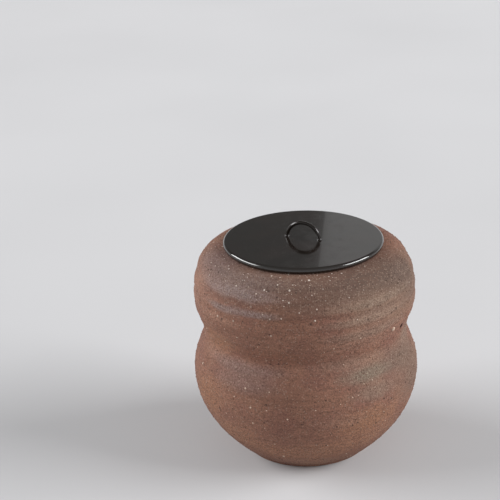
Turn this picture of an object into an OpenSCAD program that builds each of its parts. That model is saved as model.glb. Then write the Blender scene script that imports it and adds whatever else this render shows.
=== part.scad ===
// Fresh-water jar for the tea room: a thrown stoneware jar of two bulges with a drawn-in waist,
// closed by a flat lacquered lid that carries a small hoop handle.
// Millimetres, +Z up, origin at the centre of the flat base.

/* [Jar body] */
// Diameter of the flat base
foot_d = 107; // [90:1:130]
// Diameter of the lower bulge at its widest
belly_d = 186; // [170:1:210]
// Height of the lower bulge's widest point above the base
belly_rise = 72; // [55:1:90]
// Swelling of the wall between base and lower bulge, where 1 is a straight cone
belly_fullness = 2.16; // [1.6:0.02:3]
// Diameter at the waist between the two bulges
waist_d = 168; // [150:1:176]
// Height of the waist above the lower bulge's widest point
waist_rise = 34; // [26:1:48]
// Lean of the hollow under the waist, where less than 1 makes the lower bulge fuller
under_waist_lean = 0.77; // [0.6:0.01:1.2]
// Lean of the hollow over the waist, where less than 1 makes the upper bulge fuller
over_waist_lean = 1.06; // [0.6:0.01:1.3]
// Diameter of the upper bulge at its widest
shoulder_d = 182; // [172:1:200]
// Height of the upper bulge's widest point above the waist
shoulder_rise = 29; // [22:1:40]
// Height of the lip above the upper bulge's widest point
lip_rise = 41.5; // [34:0.5:55]
// Squareness of the shoulder, where 2 is an ellipse
shoulder_squareness = 2.67; // [2:0.01:3.5]
// Thickness of the wall
wall_t = 6; // [4:0.5:9]
// Thickness of the floor
floor_t = 9; // [6:0.5:14]

/* [Mouth] */
// Diameter of the mouth
mouth_d = 106; // [90:1:112]
// Width of the flat lip around the mouth
lip_w = 7; // [4:0.5:10]
// Thickness of the shoulder at the mouth
lip_t = 7; // [5:0.5:10]
// Rounding of the mouth's upper edge
lip_round = 1.2; // [0.4:0.1:2.5]

/* [Throwing marks] */
// Height of the upper finger groove above the upper bulge's widest point
upper_groove_rise = 23.5; // [18:0.5:28]
// Depth of the upper finger groove
upper_groove_depth = 0.8; // [0.2:0.1:1.5]
// Height of the lower finger groove above the upper bulge's widest point
lower_groove_rise = 11; // [6:0.5:15]
// Depth of the lower finger groove
lower_groove_depth = 0.7; // [0.2:0.1:1.5]
// Width of a finger groove
groove_w = 8; // [5:0.5:12]

/* [Lid] */
// Reach of the lid past the edge of the mouth
lid_overlap = 12; // [8:0.5:18]
// Thickness of the lid board
lid_t = 5; // [4:0.25:8]
// Rounding of the lid board's edges
lid_edge_round = 2.2; // [0.5:0.1:2.4]
// Gap all round between the locating ring and the mouth
ring_gap = 1.5; // [0.8:0.1:3]
// Width of the locating ring
ring_w = 5; // [3:0.5:9]
// Depth of the locating ring below the lid board
ring_depth = 8; // [5:0.5:14]
// Chamfer on the lower edges of the locating ring
ring_chamfer = 0.8; // [0.2:0.1:1.2]

/* [Handle] */
// Width of the hoop over its legs, at the lid
handle_w = 31; // [24:0.5:44]
// Height of the hoop above the lid
handle_h = 14.5; // [10:0.5:20]
// Diameter of the rod that the hoop is bent from
rod_d = 3; // [2:0.1:4]
// Reach of each leg's flared foot past the rod, all round
flare_reach = 0.9; // [0.6:0.1:1.5]
// Height of the flared foot of each leg
flare_h = 1.3; // [0.6:0.1:2]
// Thickness of board left under each leg's bore
leg_floor = 1.6; // [0.8:0.1:2.5]
// Glue gap all round between a leg and its bore
leg_glue_gap = 0.1; // [0.05:0.01:0.2]
// Turn of the hoop about the jar's axis, in degrees
handle_turn = -22; // [-90:1:90]

/* [Hidden] */

// Straight steps along a stretch of the wall, along the grooved shoulder and along a small rounding
wall_steps = 14;
shoulder_steps = 26;
round_steps = 5;
// Facets of the turned pieces and of the rod, as drawn
turned_facets = 160;
rod_facets = 40;
// Least height of the straight band between the two roundings of the lid's edge
lid_edge_band = 0.2;

// Heights above the base
belly_z = belly_rise;
waist_z = belly_z + waist_rise;
shoulder_z = waist_z + shoulder_rise;
jar_h = shoulder_z + lip_rise;
lid_top = jar_h + lid_t;

// Radii
foot_r = foot_d / 2;
belly_r = belly_d / 2;
waist_r = waist_d / 2;
shoulder_r = shoulder_d / 2;
mouth_r = mouth_d / 2;
lip_r = mouth_r + lip_w;
lid_r = mouth_r + lid_overlap;
lid_round = min(lid_edge_round, (lid_t - lid_edge_band) / 2);
ring_r = mouth_r - ring_gap;
leg_depth = lid_t - leg_floor;

// The hoop is the part above the lid of a ring through both legs and the top of the arch
leg_x = (handle_w - rod_d) / 2;
arch_rise = handle_h - rod_d / 2;
hoop_r = (pow(leg_x, 2) + pow(arch_rise, 2)) / (2 * arch_rise);
hoop_z = lid_top + arch_rise - hoop_r;

// The arch ends inside its flared feet
arch_end_z = lid_top + flare_h / 2;

// A flared foot is a cone that reaches the rod's own width at its stated height and ends inside the rod
flare_d = rod_d + 2 * flare_reach;
flare_end_d = 0.7 * rod_d;
flare_end_h = flare_h * (flare_d - flare_end_d) / (flare_d - rod_d);

// Where the floor meets the wall, the wall leans out by this much for each millimetre of height
foot_lean = belly_fullness * (belly_r - foot_r) / belly_z * pow(1 - floor_t / belly_z, belly_fullness - 1);
outer_r_at_floor = foot_r + (belly_r - foot_r) * (1 - pow(1 - floor_t / belly_z, belly_fullness));
floor_r = outer_r_at_floor - wall_t * sqrt(1 + pow(foot_lean, 2));

// Lower half of the lower bulge, from a radius at a height up to its widest point
function swell(from_r, from_z, inset) =
    [for (i = [0:wall_steps])
        let (t = i / wall_steps)
        [from_r + (belly_r - inset - from_r) * (1 - pow(1 - t, belly_fullness)),
         from_z + (belly_z - from_z) * t]];

// Hollow from the lower bulge's widest point up to the waist
function under_waist(inset) =
    [for (i = [1:wall_steps])
        let (t = 1 - i / wall_steps)
        [waist_r - inset + (belly_r - waist_r) * pow(sin(90 * pow(t, under_waist_lean)), 2),
         waist_z - waist_rise * t]];

// Hollow from the waist up to the upper bulge's widest point
function over_waist(inset) =
    [for (i = [1:wall_steps])
        let (t = i / wall_steps)
        [waist_r - inset + (shoulder_r - waist_r) * pow(sin(90 * pow(t, over_waist_lean)), 2),
         waist_z + shoulder_rise * t]];

// Shoulder, a rounded square corner that turns in from the upper bulge to a given radius and height
function shoulder(to_r, to_z, inset) =
    [for (i = [1:shoulder_steps])
        let (a = 90 * i / shoulder_steps, power = 2 / shoulder_squareness)
        [to_r + (shoulder_r - inset - to_r) * pow(cos(a), power),
         shoulder_z + (to_z - shoulder_z) * pow(sin(a), power)]];

// Depth of the finger grooves at a height
function groove(z, rise, depth) = depth * exp(-pow(2 * (z - shoulder_z - rise) / groove_w, 2));
function grooves(z) =
    groove(z, upper_groove_rise, upper_groove_depth) + groove(z, lower_groove_rise, lower_groove_depth);

// Points of a quarter round about a centre, from one angle to the next
function quarter_round(centre, r, from_a) =
    [for (i = [0:round_steps])
        let (a = from_a + 90 * i / round_steps)
        centre + r * [cos(a), sin(a)]];

// A list of points in the opposite order
function reversed(points) = [for (i = [len(points) - 1:-1:0]) points[i]];

function outer_wall() =
    [for (p = concat(swell(foot_r, 0, 0), under_waist(0), over_waist(0), shoulder(lip_r, jar_h, 0)))
        [p[0] - (p[1] < jar_h ? grooves(p[1]) : 0), p[1]]];

function inner_wall() =
    concat(swell(floor_r, floor_t, wall_t), under_waist(wall_t), over_waist(wall_t),
           shoulder(mouth_r, jar_h - lip_t, wall_t));

// Jar: one thrown and fired vessel with a flat floor and an open mouth
module jar_body() {
    mouth_edge = quarter_round([mouth_r + lip_round, jar_h - lip_round], lip_round, 90);
    color("#7c594d")
        rotate_extrude($fn = turned_facets)
            polygon(concat([[0, 0]], outer_wall(), mouth_edge, reversed(inner_wall()), [[0, floor_t]]));
}

// Places of the hoop's two legs, from the middle of the lid's upper face
module at_legs() {
    translate([0, 0, lid_top])
        rotate([0, 0, handle_turn])
            for (side = [-1, 1])
                translate([side * leg_x, 0, 0])
                    children();
}

// Lid board: a turned disc with rounded edges and two blind bores for the hoop's legs
module lid_board() {
    edge = concat(quarter_round([lid_r - lid_round, lid_round], lid_round, -90),
                  quarter_round([lid_r - lid_round, lid_t - lid_round], lid_round, 0));
    color("#1a1716")
        difference() {
            translate([0, 0, jar_h])
                rotate_extrude($fn = turned_facets)
                    polygon(concat([[0, 0]], edge, [[0, lid_t]]));
            at_legs()
                translate([0, 0, -leg_depth])
                    cylinder(r = rod_d / 2 + leg_glue_gap, h = leg_depth + lid_t, $fn = rod_facets);
        }
}

// Locating ring: glued under the board, it drops into the mouth and keeps the lid in place
module lid_locating_ring() {
    inner_r = ring_r - ring_w;
    color("#1d1917")
        translate([0, 0, jar_h - ring_depth])
            rotate_extrude($fn = turned_facets)
                polygon([[inner_r + ring_chamfer, 0], [ring_r - ring_chamfer, 0], [ring_r, ring_chamfer],
                         [ring_r, ring_depth], [inner_r, ring_depth], [inner_r, ring_chamfer]]);
}

// Handle: a rod bent to an arch, whose flared feet stand on the lid and whose legs are glued into it
module handle_hoop() {
    ring_reach = hoop_r + rod_d;
    color("#211e1d")
        union() {
            difference() {
                translate([0, 0, hoop_z])
                    rotate([90, 0, handle_turn])
                        rotate_extrude($fn = turned_facets)
                            translate([hoop_r, 0])
                                circle(d = rod_d, $fn = rod_facets);
                translate([-ring_reach, -ring_reach, arch_end_z - 2 * ring_reach])
                    cube(2 * ring_reach);
            }
            at_legs() {
                translate([0, 0, -leg_depth])
                    cylinder(d = rod_d, h = leg_depth, $fn = rod_facets);
                cylinder(d1 = flare_d, d2 = flare_end_d, h = flare_end_h, $fn = rod_facets);
            }
        }
}

jar_body();
lid_board();
lid_locating_ring();
handle_hoop();
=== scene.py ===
"""Looks of a tea-room water jar: unglazed stoneware, a black lacquered lid and its hoop handle.

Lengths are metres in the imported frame, with +Z up the turning axis, the origin at the centre of the base
and -Y towards the viewer. An azimuth is an angle in degrees about the axis, 0 at the front of the jar and
growing towards the viewer's right.
"""

import logging
import math
from collections.abc import Mapping, Sequence
from dataclasses import dataclass
from enum import Enum

import bmesh
import bpy
import numpy as np
from bpy.types import Material, Mesh, Node, NodeSocket, NodeTree, Object, Scene
from mathutils import Matrix, Vector


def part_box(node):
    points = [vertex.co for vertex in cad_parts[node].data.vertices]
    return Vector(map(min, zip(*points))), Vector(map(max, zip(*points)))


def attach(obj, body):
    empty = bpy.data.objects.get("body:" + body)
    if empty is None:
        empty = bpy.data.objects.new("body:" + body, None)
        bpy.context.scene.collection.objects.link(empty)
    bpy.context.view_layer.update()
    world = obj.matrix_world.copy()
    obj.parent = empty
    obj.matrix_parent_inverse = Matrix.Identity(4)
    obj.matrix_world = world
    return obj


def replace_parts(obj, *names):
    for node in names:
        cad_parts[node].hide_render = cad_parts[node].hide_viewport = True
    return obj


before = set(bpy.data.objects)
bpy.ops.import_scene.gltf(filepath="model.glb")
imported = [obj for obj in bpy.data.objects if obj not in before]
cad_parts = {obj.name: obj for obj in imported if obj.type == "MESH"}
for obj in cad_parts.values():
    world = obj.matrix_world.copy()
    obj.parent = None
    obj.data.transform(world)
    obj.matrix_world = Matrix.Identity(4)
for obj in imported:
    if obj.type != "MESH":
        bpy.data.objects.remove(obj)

MM = 0.001
FULL_TURN = 360.0

# Points closer together than this are one point
WELD = 0.001 * MM
# Rise of the throwing lines towards the viewer's right, for each metre
THROWING_SLOPE = 0.035
# Where the bell curve exp(-x * x) has faded to a tenth
FADED = 1.5

# Middle level of a cloudy noise, and levels between which it changes: nearly all, most or the middle of it
NOISE_MIDDLE = 0.5
WIDE = (0.25, 0.75)
MOST = (0.3, 0.7)
MIDDLE = (0.35, 0.65)

log = logging.getLogger("water_jar")


class Body(Enum):
    """CAD bodies that the pieces ride on."""

    JAR = "jar"
    LID = "lid"


class Slot(Enum):
    """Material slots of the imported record."""

    STONEWARE = "stoneware"
    LID_LACQUER = "lid_lacquer"
    HANDLE_LACQUER = "handle_lacquer"


class Socket(Enum):
    """Kinds of socket that a node group can have."""

    COLOUR = "NodeSocketColor"
    VECTOR = "NodeSocketVector"
    FLOAT = "NodeSocketFloat"
    INTEGER = "NodeSocketInt"
    GEOMETRY = "NodeSocketGeometry"
    MATERIAL = "NodeSocketMaterial"


class Tree(Enum):
    """Kinds of node group."""

    SHADER = "ShaderNodeTree"
    GEOMETRY = "GeometryNodeTree"


Colour = tuple[float, float, float, float]
Point = tuple[float, float, float]
Value = float | Sequence[float] | NodeSocket
Band = tuple[Value, Value]


def numbers(*names: str) -> dict[str, Socket]:
    """Lists inputs of a node group that are plain numbers."""
    return dict.fromkeys(names, Socket.FLOAT)


def paint(code: str) -> Colour:
    """Turns a colour as seen on a screen into linear light.

    Args:
        code: The colour as "#rrggbb".

    Returns:
        Red, green, blue and alpha in linear light.
    """
    channels = [int(code[i:i + 2], 16) / 255 for i in (1, 3, 5)]
    linear = [c / 12.92 if c <= 0.04045 else ((c + 0.055) / 1.055) ** 2.4 for c in channels]
    return (*linear, 1.0)


def shown(sockets: Sequence[NodeSocket], name: str) -> NodeSocket:
    """Finds the first socket of a name that the node shows in its present setting."""
    return next(s for s in sockets if s.name == name and s.enabled)


@dataclass(frozen=True)
class Cloud:
    """A cloudy noise.

    Attributes:
        size: Width of a cloud.
        detail: Number of finer layers.
        roughness: Strength of the finer layers.
    """

    size: float
    detail: float = 2.0
    roughness: float = 0.5


class Graph:
    """A node tree being built: adds nodes, sets or joins their inputs, and hands back output sockets."""

    def __init__(self, tree: NodeTree) -> None:
        """Starts work on a tree."""
        self.tree = tree

    def feed(self, socket: NodeSocket, value: Value) -> None:
        """Joins another socket to an input, or sets the input's own value.

        Args:
            socket: The input.
            value: An output socket, or a plain value.
        """
        if isinstance(value, NodeSocket):
            self.tree.links.new(value, socket)
        else:
            socket.default_value = value

    def node(self, kind: str, inputs: Mapping[str | int, Value] | None = None, **settings: object) -> Node:
        """Adds one node.

        Args:
            kind: The node's type name.
            inputs: Values or sockets for its inputs, by name or by place.
            settings: Properties of the node, set before its inputs.

        Returns:
            The new node.
        """
        node = self.tree.nodes.new(kind)
        for name, setting in settings.items():
            setattr(node, name, setting)
        for key, value in (inputs or {}).items():
            self.feed(node.inputs[key] if isinstance(key, int) else shown(node.inputs, key), value)
        return node

    def math(self, operation: str, first: Value, second: Value = 0.0) -> NodeSocket:
        """Adds an operation on two numbers and returns its result."""
        return self.node("ShaderNodeMath", {0: first, 1: second}, operation=operation).outputs[0]

    def vector(self, operation: str, first: Value, second: Value = (0.0, 0.0, 0.0)) -> NodeSocket:
        """Adds an operation on two vectors and returns its result."""
        node = self.node("ShaderNodeVectorMath", {0: first, 1: second}, operation=operation)
        return shown(node.outputs, "Value" if operation == "LENGTH" else "Vector")

    def scaled(self, vector: Value, scale: Value) -> NodeSocket:
        """Adds a multiplication of a vector by a number and returns the result."""
        inputs = {0: vector, "Scale": scale}
        return self.node("ShaderNodeVectorMath", inputs, operation="SCALE").outputs["Vector"]

    def parts(self, vector: Value) -> Mapping[str, NodeSocket]:
        """Splits a vector and returns the sockets of its X, Y and Z."""
        return self.node("ShaderNodeSeparateXYZ", {"Vector": vector}).outputs

    def remap(self, value: Value, band: Band, results: Band = (0.0, 1.0)) -> NodeSocket:
        """Adds a smooth step.

        Args:
            value: The number to step.
            band: Levels at which the step starts and ends.
            results: Results at those levels.

        Returns:
            The stepped number.
        """
        names = ("Value", "From Min", "From Max", "To Min", "To Max")
        levels = dict(zip(names, (value, *band, *results)))
        return self.node("ShaderNodeMapRange", levels, interpolation_type="SMOOTHSTEP").outputs["Result"]

    def noise(self, at: Value, cloud: Cloud, output: str | int = 0) -> NodeSocket:
        """Adds a cloudy noise.

        Args:
            at: Coordinates in metres.
            cloud: The noise.
            output: Which of its outputs is wanted, the first being a plain number.

        Returns:
            That output.
        """
        inputs = {"Vector": at, "Scale": 1 / cloud.size,
                  "Detail": cloud.detail, "Roughness": cloud.roughness}
        return self.node("ShaderNodeTexNoise", inputs).outputs[output]

    def mix(self, share: Value, first: Value, second: Value) -> NodeSocket:
        """Adds a mix of two colours and returns it."""
        inputs = {"Factor": share, "A": first, "B": second}
        return shown(self.node("ShaderNodeMix", inputs, data_type="RGBA").outputs, "Result")

    def blend(self, value: Value, band: Band, first: str, second: str) -> NodeSocket:
        """Adds a colour that turns into another while a number crosses a band, and returns it."""
        return self.mix(self.remap(value, band), paint(first), paint(second))

    def bump(self, height: Value, depth: float, below: NodeSocket | None = None) -> NodeSocket:
        """Adds a bump and returns the bent normal.

        Args:
            height: The relief, 0 to 1.
            depth: Height in metres that 1 stands for.
            below: The normal to bend further, if there is one.

        Returns:
            The normal.
        """
        inputs = {"Height": height, "Distance": depth}
        if below is not None:
            inputs["Normal"] = below
        return self.node("ShaderNodeBump", inputs).outputs["Normal"]


class Recipe(Graph):
    """A reusable node group with named inputs and outputs."""

    def __init__(self, kind: Tree, name: str, inputs: Mapping[str, Socket],
                 outputs: Mapping[str, Socket]) -> None:
        """Makes an empty group.

        Args:
            kind: Shader or geometry.
            name: The group's name.
            inputs: Kinds of its inputs, by name.
            outputs: Kinds of its outputs, by name.
        """
        super().__init__(bpy.data.node_groups.new(name, kind.value))
        for way, sockets in (("INPUT", inputs), ("OUTPUT", outputs)):
            for label, socket in sockets.items():
                self.tree.interface.new_socket(name=label, in_out=way, socket_type=socket.value)
        self.given = self.node("NodeGroupInput").outputs
        self.result = self.node("NodeGroupOutput").inputs

    def attribute(self, name: str) -> NodeSocket:
        """Adds a number that the points of the mesh carry and returns it."""
        node = self.node("GeometryNodeInputNamedAttribute", {"Name": name}, data_type="FLOAT")
        return node.outputs["Attribute"]

    def realize(self, geometry: NodeSocket) -> None:
        """Ends a geometry group: makes its instances real and smooth and gives them the material.

        Args:
            geometry: What the group has made.
        """
        real = self.node("GeometryNodeRealizeInstances", {"Geometry": geometry}).outputs[0]
        smooth = self.node("GeometryNodeSetShadeSmooth", {"Geometry": real}).outputs[0]
        inputs = {"Geometry": smooth, "Material": self.given["Material"]}
        self.feed(self.result["Geometry"], self.node("GeometryNodeSetMaterial", inputs).outputs[0])

    def run(self, ground: Object, values: Mapping[str, object]) -> Mesh:
        """Runs a geometry group on an object.

        Args:
            ground: The object that the group starts from. It stays as it is.
            values: Values of the group's inputs, by name.

        Returns:
            The result as a plain mesh.
        """
        modifier = ground.modifiers.new(self.tree.name, "NODES")
        modifier.node_group = self.tree
        for item in self.tree.interface.items_tree:
            if item.in_out == "INPUT" and item.name in values:
                modifier[item.identifier] = values[item.name]
        graph = bpy.context.evaluated_depsgraph_get()
        mesh = bpy.data.meshes.new_from_object(
            ground.evaluated_get(graph), preserve_all_data_layers=True, depsgraph=graph)
        ground.modifiers.remove(modifier)
        return mesh


class Surface(Graph):
    """A material with one shader, being built."""

    def __init__(self, name: str) -> None:
        """Makes the material with its shader and its object coordinates.

        Args:
            name: The material's name.
        """
        self.material = bpy.data.materials.new(name)
        self.material.use_nodes = True
        super().__init__(self.material.node_tree)
        self.shader = next(n for n in self.tree.nodes if n.type == "BSDF_PRINCIPLED").inputs
        self.at = self.node("ShaderNodeTexCoord").outputs["Object"]

    def place(self, recipe: Recipe, inputs: Mapping[str, Value]) -> Mapping[str, NodeSocket]:
        """Places a shader group with values of its own and returns its outputs."""
        return self.node("ShaderNodeGroup", inputs, node_tree=recipe.tree).outputs

    def finish(self, looks: Mapping[str, Value]) -> Material:
        """Feeds the shader.

        Args:
            looks: Values or sockets for the shader's inputs, by name.

        Returns:
            The finished material.
        """
        for name, value in looks.items():
            self.feed(self.shader[name], value)
        return self.material


def blush_and_painted_light(core: float = 0.2) -> Recipe:
    """Makes the shader group that lays one soft-edged patch of colour over another colour, for blushes and
    for painted shade and painted light.

    Args:
        core: Share of the patch's reach within which it doesn't fade.

    Returns:
        The group.
    """
    group = Recipe(
        Tree.SHADER, "blush_and_painted_light",
        {"Colour": Socket.COLOUR, "Blush": Socket.COLOUR, "Coordinates": Socket.VECTOR,
         "Centre": Socket.VECTOR, "Reach": Socket.VECTOR, **numbers("Turn", "Strength", "Hold")},
        {"Colour": Socket.COLOUR})
    given = group.given
    turned = group.node("ShaderNodeVectorRotate", {"Vector": given["Coordinates"], "Angle": given["Turn"]},
                        rotation_type="Z_AXIS").outputs["Vector"]
    offset = group.vector("DIVIDE", group.vector("SUBTRACT", turned, given["Centre"]), given["Reach"])
    patch = group.remap(group.vector("LENGTH", offset), (core, 1.0), (1.0, 0.0))
    share = group.math("MULTIPLY", patch, group.math("MULTIPLY", given["Strength"], given["Hold"]))
    group.feed(group.result["Colour"], group.mix(share, given["Colour"], given["Blush"]))
    return group


def mineral_flecks(edge: Band = (0.25, 0.5)) -> Recipe:
    """Makes the shader group that scatters grains: a mask of round spots in some of a mesh of cells.

    Args:
        edge: Distances from a spot's middle, in cells, between which it fades.

    Returns:
        The group.
    """
    group = Recipe(
        Tree.SHADER, "mineral_flecks", {"Coordinates": Socket.VECTOR, **numbers("Size", "Share")},
        {"Mask": Socket.FLOAT})
    given = group.given
    scale = group.math("DIVIDE", 1.0, given["Size"])
    cells = group.node("ShaderNodeTexVoronoi", {"Vector": given["Coordinates"], "Scale": scale}).outputs
    pick = group.math("LESS_THAN", group.parts(cells["Color"])["X"], given["Share"])
    spot = group.remap(cells["Distance"], edge, (1.0, 0.0))
    group.feed(group.result["Mask"], group.math("MULTIPLY", pick, spot))
    return group


def hand_polish(wave: Cloud = Cloud(22 * MM, 1.0), haze: Cloud = Cloud(9 * MM, 4.0),
                dull: Band = (0.4, 0.75)) -> Recipe:
    """Makes the shader group of a polished coat: slow waves of its surface, and haze left by the cloth.

    Args:
        wave: The waves.
        haze: The haze.
        dull: Levels of the haze between which the polish turns dull.

    Returns:
        The group.
    """
    group = Recipe(
        Tree.SHADER, "hand_polish", {"Coordinates": Socket.VECTOR, **numbers("Clear", "Hazy")},
        numbers("Wave", "Roughness"))
    given = group.given
    hazy = group.noise(given["Coordinates"], haze)
    group.feed(group.result["Wave"], group.noise(given["Coordinates"], wave))
    group.feed(group.result["Roughness"], group.remap(hazy, dull, (given["Clear"], given["Hazy"])))
    return group


class KilnTone(Enum):
    """Colours that flame, ash and smoke gave the clay; some also carry painted shade and painted light."""

    # Dark grey of soot, also deepened as painted shade on the shoulder under the lid
    SOOT_AND_LID_SHADE = "#574840"
    SMOKE = "#6c5b50"
    DUSK = "#6e5f5e"
    UMBER = "#6c4b3e"
    RUST = "#775040"
    EARTH = "#7a6353"
    ASH = "#806e60"
    PALE_ASH = "#887364"
    GREEN_ASH = "#7b7062"
    # Grey tone, also used as painted highlight on the throwing ridges
    GREY_ASH_AND_RIDGE_LIGHT = "#83736f"
    ROSE = "#806861"
    AMBER = "#90684f"
    TAN = "#93705f"
    SAND = "#9c7d6c"
    # Warm flame colour, also lightened as painted light from the floor on the lower wall
    FLAME_AND_FLOOR_LIGHT = "#9a7159"


@dataclass(frozen=True)
class Blush:
    """A soft patch of colour on the clay: a blush that flame or ash left, or a patch of painted shade or
    painted light.

    Attributes:
        azimuth: Azimuth of its middle.
        height: Height of its middle.
        along: Reach round the jar.
        up: Reach up and down.
        tone: Its colour.
        strength: How far it covers the clay, 0 to 1.
    """

    azimuth: float
    height: float
    along: float
    up: float
    tone: KilnTone
    strength: float


KILN_BLUSHES_AND_PAINTED_LIGHT = tuple(
    Blush(azimuth, height * MM, along * MM, up * MM, tone, strength)
    for azimuth, height, along, up, tone, strength in (
        (58, 157, 88, 26, KilnTone.EARTH, 0.7),
        (76, 148, 46, 22, KilnTone.SMOKE, 0.7),
        (-68, 173, 50, 12, KilnTone.DUSK, 0.75),
        (-52, 165, 66, 16, KilnTone.ROSE, 0.55),
        # Lighter patches low on the wall: warm flame colour, brightened as painted light bounced from the
        # floor
        (30, 36, 54, 28, KilnTone.FLAME_AND_FLOOR_LIGHT, 0.65),
        (-42, 38, 40, 18, KilnTone.FLAME_AND_FLOOR_LIGHT, 0.65),
        (34, 124, 56, 11, KilnTone.TAN, 0.6),
        (30, 105, 54, 9, KilnTone.PALE_ASH, 0.45),
        # Darker grey on the shoulder's front and right: soot, deepened as painted shade under the lid
        (2, 160, 44, 13, KilnTone.SOOT_AND_LID_SHADE, 0.55),
        (66, 164, 46, 16, KilnTone.SOOT_AND_LID_SHADE, 0.85),
        (70, 78, 44, 34, KilnTone.SMOKE, 0.75),
        (-14, 84, 46, 17, KilnTone.UMBER, 0.5),
        # Lighter band low on the front: painted light bounced from the floor, in the warm flame colour
        (-14, 25, 76, 18, KilnTone.FLAME_AND_FLOOR_LIGHT, 0.6),
        (0, 8, 74, 12, KilnTone.SAND, 0.6),
        (-9, 147, 24, 14, KilnTone.UMBER, 0.35),
        (-72, 150, 42, 28, KilnTone.TAN, 0.55),
        (-58, 114, 34, 15, KilnTone.AMBER, 0.65),
        (-54, 102, 30, 8, KilnTone.TAN, 0.5),
        (-62, 66, 34, 26, KilnTone.AMBER, 0.7),
        (32, 57, 42, 17, KilnTone.AMBER, 0.65),
        (18, 60, 30, 9, KilnTone.TAN, 0.5),
        # Redder band in the waist hollow: clay tone darkened as painted shade
        (-20, 113, 56, 9.5, KilnTone.RUST, 0.65),
        # Thin darker bands along the throwing grooves, front left and front right: painted shade
        (-38, 156.5, 60, 5, KilnTone.UMBER, 0.7),
        (-38, 143.5, 54, 3, KilnTone.UMBER, 0.45),
        (-38, 132.5, 50, 4.5, KilnTone.UMBER, 0.65),
        (40, 148, 48, 3.5, KilnTone.SMOKE, 0.5),
        (40, 137.5, 46, 3, KilnTone.EARTH, 0.4),
        # Darker grey band right under the lid: soot, deepened as painted shade under the lid
        (-20, 173, 92, 12, KilnTone.SOOT_AND_LID_SHADE, 0.78),
        (38, 172, 92, 17, KilnTone.SOOT_AND_LID_SHADE, 0.88),
        (-36, 172, 56, 7, KilnTone.GREY_ASH_AND_RIDGE_LIGHT, 0.33),
        # Thin darker band in the top throwing groove: painted shade
        (30, 161.5, 44, 7, KilnTone.SMOKE, 0.45),
        (58, 137, 34, 8, KilnTone.EARTH, 0.5),
        # Thin pale bands on the throwing ridges: painted highlight, in a greyer tone than the clay
        (-38, 163.5, 56, 7.5, KilnTone.GREY_ASH_AND_RIDGE_LIGHT, 0.85),
        (-46, 148.6, 28, 5, KilnTone.GREY_ASH_AND_RIDGE_LIGHT, 0.75),
        (-26, 150.8, 32, 4.5, KilnTone.GREY_ASH_AND_RIDGE_LIGHT, 0.75),
        (-48, 138.5, 34, 5, KilnTone.TAN, 0.5),
        (38, 154.5, 60, 6.5, KilnTone.ASH, 0.8),
        (36, 143, 58, 6, KilnTone.PALE_ASH, 0.8),
        (36, 131.5, 57, 7, KilnTone.PALE_ASH, 0.65),
        (-36, 99.5, 50, 8.5, KilnTone.ROSE, 0.8),
        (-34, 89, 44, 11, KilnTone.ROSE, 0.6),
        (35, 94, 38, 9.5, KilnTone.GREEN_ASH, 0.85),
        (37, 80, 32, 11, KilnTone.ASH, 0.65),
        (60, 96, 44, 16, KilnTone.SMOKE, 0.75),
        (76, 109, 26, 13, KilnTone.ASH, 0.7),
        (150, 168, 100, 13, KilnTone.DUSK, 0.85),
        # Thin bands on the back along its throwing lines, as on the front: painted highlight on the ridges
        # and painted shade in the grooves
        (168, 151, 60, 5, KilnTone.GREY_ASH_AND_RIDGE_LIGHT, 0.8),
        (115, 144, 60, 6, KilnTone.ASH, 0.7),
        (-120, 157, 60, 6, KilnTone.UMBER, 0.7),
        (118, 106, 50, 16, KilnTone.AMBER, 0.65),
        (-140, 122, 60, 14, KilnTone.AMBER, 0.65),
        (-150, 96, 56, 12, KilnTone.GREEN_ASH, 0.8),
        (165, 80, 50, 16, KilnTone.EARTH, 0.6),
        (140, 58, 60, 22, KilnTone.AMBER, 0.65),
    ))


@dataclass(frozen=True)
class Fleck:
    """A kind of speck that is scattered through the clay.

    Attributes:
        tone: Its colour.
        size: Width of the cells that hold one speck each.
        shares: Shares of the cells that do so, on the wall and on the shoulder.
        strength: How far it covers the clay, 0 to 1.
        shift: How far its cells are moved, so that they don't lie on those of another kind.
        depth: Depth of the pit that it leaves, if it leaves one.
    """

    tone: str
    size: float
    shares: Band
    strength: float
    shift: Point = (0.0, 0.0, 0.0)
    depth: float = 0.0


# Iron specks, fine pale grit, and pits darkened with painted shade
FLECKS = (
    Fleck("#3d2b26", 1.5 * MM, (0.2, 0.2), 0.5),
    Fleck("#a08a7b", 1.4 * MM, (0.2, 0.42), 0.5, shift=(0.1, 0.2, 0.3)),
    # Pits: bumped in, and darkened with painted shade
    Fleck("#3d2b26", 2.1 * MM, (0.012, 0.012), 0.7, depth=0.5 * MM),
)


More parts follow.
